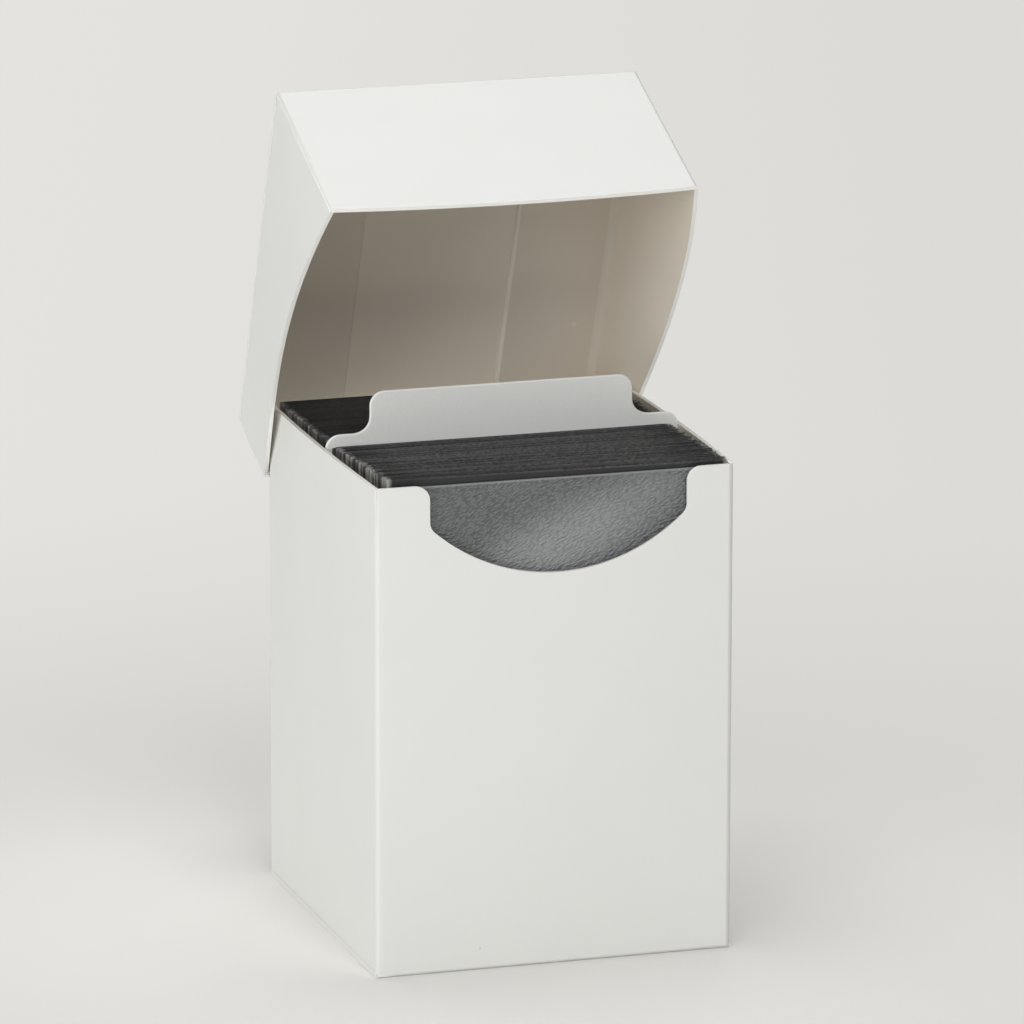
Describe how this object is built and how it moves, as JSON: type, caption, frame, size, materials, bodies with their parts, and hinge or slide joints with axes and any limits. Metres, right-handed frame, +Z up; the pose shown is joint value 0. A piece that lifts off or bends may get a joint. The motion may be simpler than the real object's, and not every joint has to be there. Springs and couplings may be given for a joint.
{
  "type": "deck box",
  "caption": "Folded plastic flip-top deck box, hinged lid open, with a thumb notch, a tabbed divider and two stacks of sleeved cards standing inside.",
  "frame": {"origin": "centre of the flat bottom that the box stands on", "axes": "+Z up; -Y is the front, with the thumb notch; +Y is the back, with the lid's hinge; X runs across the box"},
  "size_m": [0.0758, 0.0896, 0.1547],
  "materials": {
    "white_sheet": "satin polypropylene sheet",
    "weld": "melted polypropylene",
    "divider_sheet": "frosted polypropylene sheet",
    "sleeve_film": "dark embossed film",
    "card_stock": "coated card"
  },
  "bodies": {
    "box": {"front_panel": "white_sheet", "left_side_panel": "white_sheet", "right_side_panel": "white_sheet", "back_panel": "white_sheet", "side_seam_flap": "white_sheet", "side_seam_welds": "weld", "bottom_panel": "white_sheet", "bottom_rear_flap": "white_sheet", "bottom_left_flap": "white_sheet", "bottom_right_flap": "white_sheet", "bottom_welds": "weld"},
    "lid": {"living_hinge": "white_sheet", "lid_rear_strip": "white_sheet", "lid_top_panel": "white_sheet", "lid_front_panel": "white_sheet", "lid_left_side_panel": "white_sheet", "lid_right_side_panel": "white_sheet", "lid_left_glue_flap": "white_sheet", "lid_right_glue_flap": "white_sheet", "lid_welds": "weld"},
    "divider": {"divider": "divider_sheet"},
    "front_deck": {"front_deck_sleeves": "sleeve_film", "front_deck_cards": "card_stock"},
    "rear_deck": {"rear_deck_sleeves": "sleeve_film", "rear_deck_cards": "card_stock"}
  },
  "joints": [
    {"name": "lid_hinge", "type": "hinge", "parent": "box", "child": "lid", "pos_m": [0, 0.0361, 0.07865], "axis": [-1, 0, 0], "range_deg": [-68.5, 101.5]},
    {"name": "divider_slide", "type": "slide", "parent": "box", "child": "divider", "axis": [0, 0, 1], "range_m": [-0.00755, 0.0114]},
    {"name": "front_deck_lift", "type": "slide", "parent": "box", "child": "front_deck", "axis": [0, 0, 1], "range_m": [0, 0.0028]},
    {"name": "rear_deck_lift", "type": "slide", "parent": "box", "child": "rear_deck", "axis": [0, 0, 1], "range_m": [0, 0.0028]}
  ],
  "couplings": [
    {"joint": "divider_slide", "follows": "lid_hinge", "m_per_rad": 0.00627}
  ]
}
